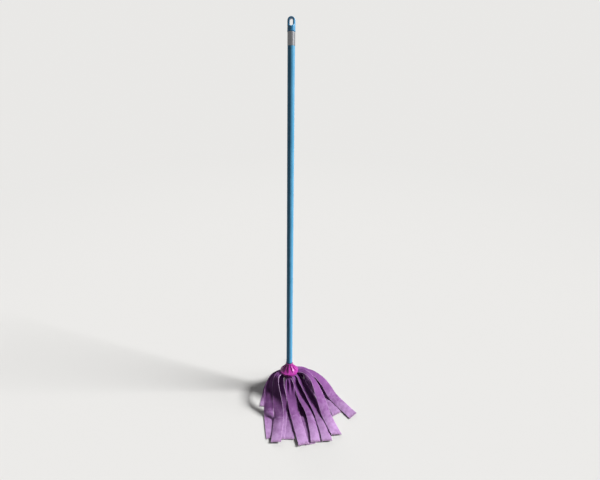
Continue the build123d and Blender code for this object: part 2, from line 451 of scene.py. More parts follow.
@dataclass(frozen=True)
class MouldedPlastic(Finish):
    """Injection-moulded polypropylene: even colour, smooth gloss with a faint ripple and light scuffs."""

    deep: str = "#000000"
    scuffing: float = 0.16
    ripple_mm: float = 6.0
    scuff_mm: float = 18.0
    coat: float = 0.1

    def make(self) -> bpy.types.Material:
        """Builds the plastic from object coordinates.

        Returns:
            The material.
        """
        material, shader = self.begin({
            "IOR": 1.49,
            "Specular IOR Level": 0.28,
            "Coat Weight": self.coat,
            "Coat Roughness": 0.12,
        })
        tree = material.node_tree
        place = add_node(tree, "TexCoord")
        cloud = add_node(
            tree, "TexNoise", {"Scale": 1000 / self.scuff_mm, "Detail": 5.0, "Roughness": 0.6},
            {"Vector": place.outputs["Object"]})
        colour = add_node(
            tree, "Mix",
            {"data_type": "RGBA", MIX_FIRST: linear(self.deep), MIX_SECOND: linear(self.colour)},
            {MIX_SHARE: cloud.outputs["Fac"]})
        tree.links.new(colour.outputs[MIX_RESULT], shader.inputs["Base Color"])
        scuffed = self.roughness + self.scuffing
        gloss = add_node(
            tree, "MapRange",
            {"From Min": 0.35, "From Max": 0.75, "To Min": self.roughness, "To Max": scuffed},
            {"Value": cloud.outputs["Fac"]})
        tree.links.new(gloss.outputs["Result"], shader.inputs["Roughness"])
        ripple = add_node(
            tree, "TexNoise", {"Scale": 1000 / self.ripple_mm, "Detail": 2.0},
            {"Vector": place.outputs["Object"]})
        bump = add_node(
            tree, "Bump", {"Strength": 0.12, "Distance": 0.0004}, {"Height": ripple.outputs["Fac"]})
        tree.links.new(bump.outputs["Normal"], shader.inputs["Normal"])
        return material


@dataclass(frozen=True)
class DrawnSleeve(Finish):
    """PVC sleeve drawn over a tube: glossy, with faint die lines along it and a few rubbed patches."""

    deep: str = "#4298C4"
    rubbing: float = 0.14
    line_mm: float = 1.4
    patch_mm: float = 60.0

    def make(self) -> bpy.types.Material:
        """Builds the sleeve from object coordinates turned so that Z runs along the handle.

        Returns:
            The material.
        """
        material, shader = self.begin({"IOR": 1.53, "Specular IOR Level": 0.16})
        tree = material.node_tree
        place = add_node(tree, "TexCoord")
        # Turned back by the lean, then stretched along the handle
        along = add_node(
            tree, "Mapping", {"Rotation": (LEAN, 0.0, 0.0), "Scale": (1.0, 1.0, 0.02)},
            {"Vector": place.outputs["Object"]})
        lines = add_node(
            tree, "TexNoise", {"Scale": 1000 / self.line_mm, "Detail": 2.0},
            {"Vector": along.outputs["Vector"]})
        patches = add_node(
            tree, "TexNoise", {"Scale": 1000 / self.patch_mm, "Detail": 6.0, "Roughness": 0.65},
            {"Vector": place.outputs["Object"]})
        colour = add_node(
            tree, "Mix",
            {"data_type": "RGBA", MIX_FIRST: linear(self.deep), MIX_SECOND: linear(self.colour)},
            {MIX_SHARE: patches.outputs["Fac"]})
        tree.links.new(colour.outputs[MIX_RESULT], shader.inputs["Base Color"])
        rubbed = self.roughness + self.rubbing
        gloss = add_node(
            tree, "MapRange",
            {"From Min": 0.4, "From Max": 0.75, "To Min": self.roughness, "To Max": rubbed},
            {"Value": patches.outputs["Fac"]})
        tree.links.new(gloss.outputs["Result"], shader.inputs["Roughness"])
        bump = add_node(
            tree, "Bump", {"Strength": 0.08, "Distance": 0.0003}, {"Height": lines.outputs["Fac"]})
        tree.links.new(bump.outputs["Normal"], shader.inputs["Normal"])
        return material


@dataclass(frozen=True)
class RolledMetal(Finish):
    """Bare metal, rolled or drawn: fine lines round the handle, a soft gloss, and crinkles on a foil."""

    uneven: float = 0.12
    line_mm: float = 0.8
    crinkle_mm: float = 7.0
    crinkle: float = 0.0

    def make(self) -> bpy.types.Material:
        """Builds the metal from object coordinates turned so that Z runs along the handle.

        Returns:
            The material.
        """
        material, shader = self.begin({"Metallic": 1.0})
        tree = material.node_tree
        place = add_node(tree, "TexCoord")
        # Turned back by the lean, then stretched round the handle
        along = add_node(
            tree, "Mapping", {"Rotation": (LEAN, 0.0, 0.0), "Scale": (0.05, 0.05, 1.0)},
            {"Vector": place.outputs["Object"]})
        lines = add_node(
            tree, "TexNoise", {"Scale": 1000 / self.line_mm, "Detail": 3.0},
            {"Vector": along.outputs["Vector"]})
        dull = self.roughness + self.uneven
        gloss = add_node(
            tree, "MapRange",
            {"From Min": 0.3, "From Max": 0.7, "To Min": self.roughness, "To Max": dull},
            {"Value": lines.outputs["Fac"]})
        tree.links.new(gloss.outputs["Result"], shader.inputs["Roughness"])
        if self.crinkle:
            folds = add_node(
                tree, "TexNoise", {"Scale": 1000 / self.crinkle_mm, "Detail": 2.0},
                {"Vector": place.outputs["Object"]})
            bump = add_node(
                tree, "Bump", {"Strength": self.crinkle, "Distance": 0.0005},
                {"Height": folds.outputs["Fac"]})
            tree.links.new(bump.outputs["Normal"], shader.inputs["Normal"])
        return material


# Handle


@dataclass
class Handle:
    """Sleeved tube with a foil band and a hanger cap, on the leaning axis.

    The seam's angle is in degrees, and the lap's angles are in radians.
    """

    columns: int = 128
    sleeve_od: float = 22.0
    sleeve_wall: float = 0.5
    sleeve_rings: int = 60
    roll_rings: int = 7
    tube_foot: float = 135.0
    tube_length: float = 1104.0
    seam_width: float = 2.4
    seam_height: float = 0.12
    seam_angle: float = 150.0
    band_height: float = 36.0
    band_wall: float = 0.2
    band_play: float = 0.02
    band_gap: float = 0.5
    band_rings: int = 80
    line_inset: float = 3.0
    line_width: float = 0.5
    line_height: float = 0.12
    lap_height: float = 0.12
    lap_start: float = 2.2
    lap_end: float = 2.75
    lap_slope: float = 0.05
    cap_columns: int = 288
    cap_rings: int = 64
    cap_squareness: float = 7.0
    cap_softness: float = 2.0
    cap_overhang: float = 0.7
    cap_height: float = 38.5
    cap_rim: float = 0.4
    cap_rim_height: float = 2.5
    cap_rim_slope: float = 0.8
    cap_collar: float = 13.0
    cap_slope: float = 6.0
    cap_eye: float = 14.0
    slot_width: float = 9.6
    slot_height: float = 19.0
    slot_roof: float = 4.5

    def sleeve(self, material: bpy.types.Material) -> bpy.types.Object:
        """The sleeve: a circle carried along the axis, with a low seam ridge and rolled ends.

        The radius is the sleeve's plus a bell curve of the angle from the seam, and over the last half
        millimetre at each end it turns inwards on a quarter circle. The inner wall joins the two ends.

        Args:
            material: its finish.

        Returns:
            The sleeve's object.
        """
        roll = self.sleeve_wall
        turn = np.linspace(0, np.pi / 2, self.roll_rings)
        end_inset, end_rise = roll * (1 - np.sin(turn)), roll * (1 - np.cos(turn))
        straight = np.linspace(roll, self.tube_length - roll, self.sleeve_rings)[1:-1]
        inset = np.concatenate([end_inset, np.zeros(len(straight)), end_inset[::-1]])
        rise = np.concatenate([end_rise, straight, self.tube_length - end_rise[::-1]])
        angle = ring_angles(self.columns)
        off = (angle - math.radians(self.seam_angle) + np.pi) % FULL_TURN - np.pi
        seam = self.seam_height * np.exp(-((off * self.sleeve_od / self.seam_width) ** 2))
        radius = self.sleeve_od / 2 - inset[:, None] + seam[None, :]
        return turned_piece("blue_sleeve_skin", radius, angle, rise, self.tube_foot, material, tube=True)

    def band(self, material: bpy.types.Material) -> bpy.types.Object:
        """The foil band: a thin wrap whose end laps over its start, with a plain raised line near each edge.

        The radius is the sleeve's plus the foil, plus a low step over the lap, plus two bell curves of the
        height for the lines. The first and last ring lie close to the sleeve, and the inner wall joins them.

        Args:
            material: its finish.

        Returns:
            The band's object.
        """
        height = np.linspace(0, self.band_height, self.band_rings)
        height = np.concatenate([height[:1], height, height[-1:]])
        places = (self.line_inset, self.band_height - self.line_inset)
        lines = self.line_height * sum(np.exp(-(((height - at) / self.line_width) ** 2)) for at in places)
        outside = np.ones(len(height), dtype=bool)
        outside[[0, -1]] = False
        wall = np.where(outside, self.band_wall, self.band_play)
        angle = ring_angles(self.columns)
        lap_up = eased((angle - self.lap_start) / self.lap_slope)
        lap_down = eased((self.lap_end - angle) / self.lap_slope)
        step = self.lap_height * (lap_up * lap_down)[None, :] * outside[:, None]
        radius = self.sleeve_od / 2 + (wall + lines)[:, None] + step
        foot = self.tube_foot + self.tube_length - self.band_gap - self.band_height
        return turned_piece("foil_band_wrap", radius, angle, height, foot, material, sharp=50.0, tube=True)

    def cap(self, material: bpy.types.Material) -> bpy.types.Object:
        """The hanger cap: a rounded square carried round the slot.

        Seen from the front the cap is a ring between the slot's outline and its own, so a point is given by
        the angle round the slot's middle and by the share of the way out. Its depth is the smaller of the
        eye's half thickness and the round collar's, and the rounded square turns the edges over.

        Args:
            material: its finish.

        Returns:
            The cap's object.
        """
        radius = self.sleeve_od / 2 + self.cap_overhang
        middle = self.cap_height - self.slot_roof - self.slot_height / 2
        angle = ring_angles(self.cap_columns)
        dx, dz = np.cos(angle), np.sin(angle)
        # Slot: a straight middle with half-round ends
        end, straight = self.slot_width / 2, (self.slot_height - self.slot_width) / 2
        side = end / np.maximum(np.abs(dx), TINY)
        lean = np.abs(dz) * straight
        round_end = lean + np.sqrt(np.maximum(lean**2 - straight**2 + end**2, 0.0))
        inner = np.where(side * np.abs(dz) <= straight, side, round_end)
        # Outline: flat foot, straight sides, half-round top
        top = self.cap_height - radius - middle
        flank = radius / np.maximum(np.abs(dx), TINY)
        crown = dz * top + np.sqrt(np.maximum((dz * top) ** 2 - top**2 + radius**2, 0.0))
        foot = np.where(dz < 0, middle / np.maximum(-dz, TINY), np.inf)
        outer = np.minimum(np.where(flank * dz > top, crown, flank), foot)
        # Rounded square between the two outlines
        turn = ring_angles(self.cap_rings)
        share = 0.5 + 0.5 * squared(np.cos(turn), self.cap_squareness)
        depth = squared(np.sin(turn), self.cap_squareness)
        reach = inner[:, None] + (outer - inner)[:, None] * share[None, :]
        x, z = reach * dx[:, None], middle + reach * dz[:, None]
        # The rim round the foot stands out, and the collar narrows to the flat eye
        rim = self.cap_rim * eased((self.cap_rim_height + self.cap_rim_slope / 2 - z) / self.cap_rim_slope)
        narrowing = eased((z - self.cap_collar) / self.cap_slope)
        eye = radius + rim + (self.cap_eye / 2 - radius) * narrowing
        wide_x = x * (1 + rim / radius)
        collar = np.sqrt(np.maximum((radius + rim) ** 2 - wide_x**2, 0.0))
        # Smooth minimum of eye and collar, with a guard against the logarithm of zero
        soft = self.cap_softness
        half = -np.log(np.exp(-soft * eye) + np.exp(-soft * collar) + 1e-12) / soft
        points = np.stack([wide_x, depth[None, :] * np.clip(half, 0.0, None), z], axis=-1)
        points = on_axis(points, self.tube_foot + self.tube_length)
        faces = grid_faces(*points.shape[:2], wrap_rows=True, wrap_columns=True)
        return make_piece("hanger_cap_eye", points.reshape(-1, 3), faces, material, sharp=60.0)

    def build(self) -> None:
        """Makes and dresses the handle's pieces."""
        blue = DrawnSleeve("glossy blue PVC sleeve", "#74BEE6", 0.26)
        foil = RolledMetal("aluminium foil", "#747578", 0.45, crinkle=0.15)
        moulded = MouldedPlastic("moulded blue polypropylene", "#50A6D4", 0.24, deep="#3D8FC0")
        steel = RolledMetal("drawn steel tube", "#A9ABAE", 0.32)
        settle(self.sleeve(blue.make()), Body.HANDLE, "blue_sleeve")
        settle(self.band(foil.make()), Body.HANDLE, "foil_band")
        settle(self.cap(moulded.make()), Body.HANDLE, "hanger_cap")
        dress_node("steel_tube", steel.make())


# Thread plug


@dataclass
class ThreadPlug:
    """Plug in the handle's foot: a coarse thread below a flange, and the start of the spigot above it."""

    columns: int = 96
    rings: int = 181
    foot: float = 102.0
    thread_od: float = 20.0
    thread_length: float = 30.0
    pitch: float = 5.0
    depth: float = 1.1
    lead_in: float = 1.2
    lead_length: float = 1.6
    groove_start: float = 0.8
    groove_stop: float = 1.0
    groove_fade: float = 2.5
    flange_od: float = 22.0
    flange: float = 3.0
    flange_edge: float = 0.4
    spigot_radius: float = 10.0
    spigot: float = 4.0

    def build(self) -> None:
        """Makes the plug: a turned outline whose radius dips along a helix.

        Along the thread the radius is reduced by the groove, which fades out over half a pitch at both ends.
        """
        angle = ring_angles(self.columns)
        thread = np.linspace(0, self.thread_length, self.rings)
        crest = self.thread_od / 2 - self.lead_in * (1 - eased(thread / self.lead_length))
        begins = eased((thread - self.groove_start) / self.groove_fade)
        ends = eased((self.thread_length - self.groove_stop - thread) / self.groove_fade)
        groove = thread_groove(thread[:, None], angle, self.pitch) * (begins * ends)[:, None]
        threaded = crest[:, None] - self.depth * groove
        edge, half = self.flange_edge, self.flange_od / 2
        low, top = self.thread_length, self.thread_length + self.flange
        turned = np.array([
            (half - edge, low), (half, low + edge), (half, top - edge), (half - edge, top),
            (self.spigot_radius, top), (self.spigot_radius, top + self.spigot), (0.0, top + self.spigot),
        ])
        pole = np.zeros((1, self.columns))
        radius = np.concatenate([pole, threaded, np.repeat(turned[:, :1], self.columns, axis=1)])
        height = np.concatenate([[0.0], thread, turned[:, 1]])
        black = MouldedPlastic("black polypropylene", "#1B1B1D", 0.42, deep="#101011", coat=0.0)
        piece = turned_piece("threaded_plug", radius, angle, height, self.foot, black.make(), sharp=35.0)
        settle(piece, Body.PLUG, "thread_plug")


# Mop socket


@dataclass
class MopSocket:
    """Bell-shaped socket with gussets outside, a threaded bore and, below it, a bore for the post."""

    clamp: float = 95.0
    height: float = 37.0
    base_od: float = 66.0
    skirt: float = 5.0
    rim_shares: tuple[float, ...] = (0.4, 0.7, 0.9)
    neck: float = 7.0
    neck_wall: float = 2.9
    wall: float = 2.5
    flare: float = 2.2
    bell_rings: int = 40
    foot_edge: float = 0.6
    boss_height: float = 14.0
    corner: float = 1.0
    post_bore: float = 7.05
    post_depth: float = 3.0
    lip: float = 0.8
    lip_rings: int = 6
    mouth: float = 0.8
    mouth_depth: float = 0.25
    bore: float = 10.05
    bore_depth: float = 31.0
    bore_rings: int = 100
    gussets: int = 10
    gusset_columns: int = 56
    gusset_crowding: float = 0.7
    gusset_thickness: float = 2.4
    fillet: float = 0.9
    fillet_start: float = 0.2
    pitch: float = 5.0
    thread_depth: float = 0.9
    thread_start: float = 1.5
    thread_fade: float = 2.0

    def bell(self) -> np.ndarray:
        """Outline of the bell: an arc through the skirt's top, a hollowed middle and the neck's foot.

        Returns:
            Radius and height of each ring.
        """
        base, neck, top = self.base_od / 2, self.bore + self.neck_wall, self.height - self.neck
        first, last = np.array([base, self.skirt]), np.array([neck, top])
        middle = (first + last) / 2 - self.flare
        chord, rise = np.linalg.norm(last - first), np.linalg.norm(middle - (first + last) / 2)
        radius = (chord**2 / 4 + rise**2) / (2 * rise)
        inward = unit(middle - (first + last) / 2)
        centre = middle - inward * radius
        start, end = (math.atan2(*(p - centre)[::-1]) for p in (first, last))
        turn = np.linspace(start, end, self.bell_rings)
        return centre + radius * np.stack([np.cos(turn), np.sin(turn)], axis=-1)

    def outline(self) -> tuple[np.ndarray, slice, slice]:
        """Outline without gussets and thread, from the post's bore round to the floor of the thread's bore.

        Returns:
            Radius and height of each ring, the rings of the bell and the rings of the thread bore.
        """
        base, neck, boss = self.base_od / 2, self.bore + self.neck_wall, self.bore + self.wall
        inside, edge = base - self.wall, self.foot_edge
        under = np.array([
            (0.0, self.post_depth), (self.post_bore, self.post_depth), (self.post_bore, 0.0), (boss, 0.0),
            (boss, self.boss_height), (boss + self.corner, self.boss_height + self.corner),
            (inside, self.skirt - self.corner), (inside, edge / 2), (inside + edge / 2, 0.0),
            (base - edge, 0.0), (base - edge / 3, edge / 3), (base, edge),
        ])
        rim = np.array([(base, self.skirt * share) for share in self.rim_shares])
        bell = self.bell()
        turn = np.linspace(0, np.pi / 2, self.lip_rings)
        lip = np.array([neck, self.height]) - self.lip * (1 - np.stack([np.cos(turn), np.sin(turn)], axis=-1))
        mouth = np.array([
            (self.bore + self.mouth, self.height),
            (self.bore + self.mouth / 4, self.height - self.mouth_depth),
        ])
        floor = self.height - self.bore_depth
        down = np.linspace(self.height - self.mouth, floor, self.bore_rings)
        hole = np.stack([np.full(self.bore_rings, self.bore), down], axis=-1)
        outline = np.concatenate([under, rim, bell, lip, mouth, hole, [(0.0, floor)]])
        below_bell = len(under) + len(rim)
        on_bell = slice(below_bell, below_bell + len(bell))
        in_bore = slice(len(outline) - 1 - self.bore_rings, len(outline) - 1)
        return outline, on_bell, in_bore

    def build(self) -> None:
        """Makes the socket: a turned outline with ribs raised from it and a helix in its bore.

        A gusset raises the radius from the bell's arc to the straight line between skirt and neck. Its share
        is 1 over its thickness, measured along the circle, and eases to 0 over the fillet beside it.
        """
        outline, on_bell, in_bore = self.outline()
        radius, height = outline[:, :1], outline[:, 1:]
        # Points of a ring, closer together on a gusset than between two
        step = np.linspace(-0.5, 0.5, self.gusset_columns, endpoint=False)
        crowded = step - self.gusset_crowding * np.sin(FULL_TURN * step) / FULL_TURN
        off = FULL_TURN / self.gussets * crowded
        middles = FULL_TURN / self.gussets * (np.arange(self.gussets) + 0.5)
        angle = (middles[:, None] + off[None, :]).ravel()
        base, neck, top = self.base_od / 2, self.bore + self.neck_wall, self.height - self.neck
        line = neck + (top - height) / (top - self.skirt) * (base - neck)
        raised = np.zeros_like(radius)
        raised[on_bell] = np.clip(line - radius, 0.0, None)[on_bell]
        beside = np.abs(np.tile(off, self.gussets))[None, :] * radius
        share = 1 - eased((beside - self.gusset_thickness / 2 + self.fillet_start) / self.fillet)
        full = radius + raised * share
        groove = self.thread_depth * thread_groove(height, angle, self.pitch)
        fade = eased((self.height - self.thread_start - height) / self.thread_fade)
        full[in_bore] += (groove * fade)[in_bore]
        magenta = MouldedPlastic("moulded magenta polypropylene", "#C23CAE", 0.22, deep="#A82C96", coat=0.2)
        matt = MouldedPlastic("matt magenta polypropylene", "#A83497", 0.45, deep="#962C87", coat=0.0)
        piece = turned_piece(
            "ribbed_mop_socket", full, angle, height, self.clamp, magenta.make(), sharp=32.0)
        settle(piece, Body.HEAD, "mop_socket")
        dress_node("strip_retainer", matt.make())


# Felt tails


@dataclass
class FeltTail:
    """One felt tail, as it lies from the clamp to its cut end.

    It leaves the clamp at exit_angle and bends over along a cubic curve, whose pulls are out and rise at the
    clamp and back and steep at the floor. It touches down at (land_x, land_y), on a pile of that many tails,
    and runs on along heading. Lengths are millimetres and angles degrees. The other fields give it its own
    shape:

    pleat is the depth of the folds where it is gathered, and spread the share of the drop over which it opens
    to its full width. Over the drop, cup is how far its edges turn up, ripple the height of the waves along
    it, twist its turn about its own line halfway down, and bow how far its middle swings to its right. bend
    is the length over which it turns on to the floor. There, drift is how far it lies to its right, wave the
    height of its waves, crown how far its middle stands above its edges, tilt how much higher its right side
    lies than its left (below zero, its left), and sink how far its right side comes down beside the tail that
    it lies on. crease is a fold across it (distance from the end, depth and slant), tip_lift and tip_skew
    shape its cut end, tucked says that it turns under the head, and doubled that it lies folded in two along
    its length.
    """

    name: str
    layer: int
    length: float
    exit_angle: float
    rise: float
    out: float
    land_x: float
    land_y: float
    back: float
    steep: float
    heading: float
    pile: int = 0
    tucked: bool = False
    pleat: float = 1.5
    cup: float = 1.5
    ripple: float = 0.6
    twist: float = 0.0
    tip_lift: float = 1.0
    tip_skew: float = 0.0
    crease: tuple[float, float, float] | None = None
    bend: float = 4.0
    sink: float = 0.0
    wave: float = 0.5
    tilt: float = 0.0
    bow: float = 0.0
    drift: float = 0.0
    crown: float = 1.0
    spread: float = 0.45
    doubled: bool = False


@dataclass
class FeltHead:
    """The sixteen tails of the eight felt strips.

    The first fields are sizes of the clamp and of the strips. The next ones say how this felt lies: those
    that end in period are lengths of its waves, those that end in run are lengths before the cut end, and
    pairs are shares of the drop between which a shape comes or goes. The last ones shape its edges and its
    dirt.
    """

    clamp: float = 95.0
    layers: int = 8
    layer_pitch: float = 1.9
    inner_reach: float = 24.0
    outer_reach: float = 35.0
    post_reach: float = 7.3
    width: float = 35.0
    gathered: float = 22.0
    thickness: float = 1.5
    pile_step: float = 2.2
    floor_gap: float = 0.02
    curve_points: int = 600
    station: float = 1.5
    across: int = 27
    drift_comes: tuple[float, float] = (0.4, 0.9)
    fold_comes: tuple[float, float] = (0.1, 0.8)
    fold_arc: float = 6.0
    pleats: float = 2.2
    pleat_phase: float = 6.28
    pleat_sway: float = 0.9
    pleat_sway_length: float = 9.0
    pleat_comes: tuple[float, float] = (0.02, 0.14)
    pleat_goes: tuple[float, float] = (0.15, 0.55)
    ripple_period: float = 70.0
    ripple_slant: float = 6.0
    wave_period: float = 48.0
    wave_slant: float = 9.0
    wave_comes: tuple[float, float] = (0.97, 1.0)
    sink_length: float = 40.0
    tilt_comes: tuple[float, float] = (0.5, 1.0)
    tilt_run: float = 60.0
    tilt_loss: float = 0.4
    crown_comes: tuple[float, float] = (0.6, 1.0)
    crown_run: float = 45.0
    crown_loss: float = 0.6
    crown_period: float = 60.0
    crown_sway: float = 0.15
    tip_run: float = 34.0
    tip_lean: float = 0.45
    crease_width: float = 3.0
    edge_wander: float = 0.35
    edge_period: float = 17.0
    edge_round: float = 0.6
    edge_thickness: float = 0.55
    ragged: float = 0.7
    ragged_period: float = 0.5
    ragged_run: float = 20.0
    cut_band: float = 1.4
    soil: float = 0.6
    soil_run: float = 9.0
    soil_wander: float = 5.0
    soil_period: float = 14.0
    tails: list[FeltTail] = field(default_factory=list)

    def line(self, tail: FeltTail) -> tuple[np.ndarray, np.ndarray, np.ndarray, np.ndarray, float]:
        """Centre line of a tail: a straight tab in the clamp, a cubic curve down and a straight floor run.

        The whole line is then averaged over a few millimetres, so that it bends as felt does.

        Args:
            tail: the tail.

        Returns:
            Distance of each station from the tab's inner end, its place, the way across the tail, the share
            of the drop that is behind it, and the whole length.
        """
        leave = flat(tail.exit_angle)
        down_face = leave + [0.0, 0.0, -math.tan(LEAN) * leave[1]]
        reach = self.outer_reach - (self.outer_reach - self.inner_reach) * tail.layer / (self.layers - 1)
        start = AXIS * (self.clamp - (tail.layer + 0.5) * self.layer_pitch) + reach * down_face
        heading = flat(tail.heading)
        land = np.array([tail.land_x, tail.land_y, self.thickness / 2 + tail.pile * self.pile_step])
        pull_out = start + tail.out * (down_face + tail.rise * UP)
        pull_in = land - tail.back * heading + tail.steep * UP
        u = np.linspace(0, 1, self.curve_points)[:, None]
        v = 1 - u
        curve = v**3 * start + 3 * u * v**2 * pull_out + 3 * u**2 * v * pull_in + u**3 * land
        covered = np.concatenate([[0.0], np.cumsum(np.linalg.norm(np.diff(curve, axis=0), axis=1))])
        drop = covered[-1]
        tab = reach * np.linalg.norm(down_face) - self.post_reach
        total = tab + tail.length - reach
        along = np.linspace(0, total, int(total / self.station))
        on_curve = np.stack([np.interp(along - tab, covered, curve[:, k]) for k in range(3)], axis=-1)
        before = np.minimum(along - tab, 0.0)[:, None] * unit(down_face)
        after = np.maximum(along - tab - drop, 0.0)[:, None] * heading
        place = on_curve + before + after
        # Average over a bell curve, with the ends carried on straight
        steps = int(4 * tail.bend / self.station)
        bell = np.exp(-0.5 * (np.arange(-steps, steps + 1) * self.station / tail.bend) ** 2)
        bell = bell / bell.sum()
        ahead = np.arange(1, steps + 1)[:, None]
        longer = np.concatenate([
            place[0] - ahead[::-1] * (place[1] - place[0]),
            place,
            place[-1] + ahead * (place[-1] - place[-2]),
        ])
        place = np.stack([np.convolve(longer[:, k], bell, mode="valid") for k in range(3)], axis=-1)
        share = np.clip((along - tab) / drop, 0.0, 1.0)[:, None]
        direction = unit(np.gradient(place, axis=0))
        at_clamp = unit(np.cross(AXIS, leave))
        if tail.tucked:
            across = at_clamp * (1 - share) - np.cross(UP, heading) * share
        else:
            across = at_clamp * (1 - eased(share)) + unit(np.cross(UP, direction)) * eased(share)
        across = unit(across - (across * direction).sum(axis=1, keepdims=True) * direction)
        return along, place, across, share, total

    def folded(self, flat_place: np.ndarray, share: np.ndarray) -> tuple[np.ndarray, np.ndarray, np.ndarray]:
        """Folds a strip in two along its length: its right half turns over on to its left one along the drop.

        Across the strip the section is a straight line, an arc whose length is fold_arc and a second straight
        line, and the arc's angle grows from 0 at the clamp to half a turn.

        Args:
            flat_place: place across the flat strip, in millimetres.
            share: share of the drop that is behind each station.

        Returns:
            Place across, height and slope of the folded strip.
        """
        half_arc = self.fold_arc / 2
        angle = np.maximum(np.pi * ramp(share, *self.fold_comes), 1e-3)
        radius = self.fold_arc / angle
        turned = np.clip((flat_place + half_arc) / self.fold_arc, 0.0, 1.0) * angle
        beyond = np.maximum(flat_place - half_arc, 0.0)
        before = np.minimum(flat_place + half_arc, 0.0)
        # The folded strip is moved over, so that it lies about the middle of the flat one
        centred = self.width / 5 * angle / np.pi - half_arc * (1 - angle / np.pi)
        aside = before + radius * np.sin(turned) + beyond * np.cos(angle) + centred
        return aside, radius * (1 - np.cos(turned)) + beyond * np.sin(angle), turned

    def offsets(
        self,
        tail: FeltTail,
        along: np.ndarray,
        w: np.ndarray,
        share: np.ndarray,
        total: float,
        rng: np.random.Generator,
    ) -> np.ndarray:
        """How far the middle of the felt stands off its line.

        It is a sum of shapes: pleats that fade as the gathered tail spreads, a cupped parabola and ripples
        over the drop, waves, a side that sinks, a tilt and a crown on the floor, a lift at the cut end and a
        crease.

        Args:
            tail: the tail.
            along: distance of each station, as a column.
            w: places across the strip from -1 to 1, as a row.
            share: share of the drop that is behind each station.
            total: the whole length.
            rng: source of the irregularities.

        Returns:
            The distance in millimetres, a row for each station.
        """
        from_end = total - along
        on_floor = along - along[share < 1].max()
        drop_window = self.drop_window(share)
        pleat_window = ramp(share, *self.pleat_comes) * (1 - ramp(share, *self.pleat_goes))
        sway = self.pleat_sway * np.sin(along / self.pleat_sway_length)
        folds = self.pleats * np.pi * w + rng.uniform(0, self.pleat_phase) + sway
        offset = tail.pleat * pleat_window * np.cos(folds)
        # 1/3 is the mean of the parabola, so the middle goes down as the edges come up
        offset = offset + tail.cup * drop_window * (w**2 - 1 / 3)
        ripples = wander(along + self.ripple_slant * w, self.ripple_period, rng)
        offset = offset + tail.ripple * drop_window * ripples
        waves = 1 + wander(along + self.wave_slant * w, self.wave_period, rng)
        offset = offset + tail.wave / 2 * ramp(share, *self.wave_comes) * waves
        offset = offset - tail.sink * eased(on_floor / self.sink_length) * (1 + w) / 2
        tilt_left = 1 - self.tilt_loss * eased(1 - from_end / self.tilt_run)
        tilted = abs(tail.tilt) * ramp(share, *self.tilt_comes) * tilt_left
        offset = offset + tilted * (1 + w * np.sign(tail.tilt)) / 2
        crown_left = 1 - self.crown_loss * eased(1 - from_end / self.crown_run)
        crowned = ramp(share, *self.crown_comes) * crown_left
        ridge = self.crown_sway * wander(along, self.crown_period, rng)
        offset = offset + tail.crown * crowned * (1 - np.abs(w - ridge) ** 1.6)
        higher_side = -1 if tail.tip_skew < 0 else 1
        lifted = eased(1 - from_end / self.tip_run) * (1 + self.tip_lean * w * higher_side)
        offset = offset + tail.tip_lift * lifted
        if tail.crease:
            at, depth, slant = tail.crease
            offset = offset + depth * np.exp(-(((from_end - at - slant * w) / self.crease_width) ** 2))
        return offset

    @staticmethod
    def drop_window(share: np.ndarray) -> np.ndarray:
        """Window over the drop: 0 at the clamp and on the floor, 1 halfway, a sine to the power 1.5."""
        return np.sin(np.pi * share) ** 1.5

    @staticmethod
    def round_strip(upper: np.ndarray, lower: np.ndarray) -> np.ndarray:
        """Values once round the strip: the upper side's rows, then the lower side's run backwards."""
        return np.concatenate([upper, lower[:, ::-1]], axis=1)

    @staticmethod
    def skin_faces(rows: int, columns: int) -> np.ndarray:
        """Faces of a closed strip whose rows go once round it, with a strip of quads over each end.

        Args:
            rows: number of rows along the strip.
            columns: number of points across one side.

        Returns:
            Four point numbers for each quad, facing outwards.
        """
        loop = 2 * columns
        sides = grid_faces(rows, loop, wrap_columns=True)
        k = np.arange(columns - 1)
        first = np.stack([k, loop - 1 - k, loop - 2 - k, k + 1], axis=-1)
        last = first[:, ::-1] + (rows - 1) * loop
        return np.concatenate([sides, first, last])[:, ::-1]

    def tail_piece(self, tail: FeltTail, material: bpy.types.Material, seed: int) -> bpy.types.Object:
        """One tail: a thin rounded profile carried along its line.

        The profile's middle stands off the line by the tail's offsets, its sides wander a little and its end
        is ragged.

        Args:
            tail: the tail.
            material: the felt.
            seed: number that the tail's small irregularities start from.

        Returns:
            The tail's object.
        """
        rng = np.random.default_rng(seed)
        along, place, across, share, total = self.line(tail)
        along = along[:, None]
        swing = tail.bow * np.sin(np.pi * along / total) ** 2
        place = place + (swing + tail.drift * ramp(share, *self.drift_comes)) * across
        direction = unit(np.gradient(place, axis=0))
        normal = np.cross(direction, across)
        from_end = total - along
        # Places across the strip from one edge to the other, closer together towards the edges
        w = np.sin(np.linspace(-np.pi / 2, np.pi / 2, self.across))[None, :]
        half = (self.gathered + (self.width - self.gathered) * eased(share / tail.spread)) / 2
        offset = self.offsets(tail, along, w, share, total, rng)
        turn = math.radians(tail.twist) * self.drop_window(share)
        side = across * np.cos(turn) + normal * np.sin(turn)
        up = normal * np.cos(turn) - across * np.sin(turn)
        # Edges and cut end
        left_edge = self.edge_wander * wander(along, self.edge_period, rng)
        right_edge = self.edge_wander * wander(along, self.edge_period, rng)
        flat_place = w * half + np.where(w < 0, left_edge, right_edge) * np.abs(w) ** 4
        cut_line = tail.tip_skew * w + self.ragged * wander(w, self.ragged_period, rng)
        ahead = cut_line * eased(1 - from_end / self.ragged_run)
        from_side = half * (1 - np.abs(w))
        rounding = np.sqrt(1 - (1 - np.clip(from_side / self.edge_round, 0.0, 1.0)) ** 2)
        thick = self.thickness / 2 * (self.edge_thickness + (1 - self.edge_thickness) * rounding)
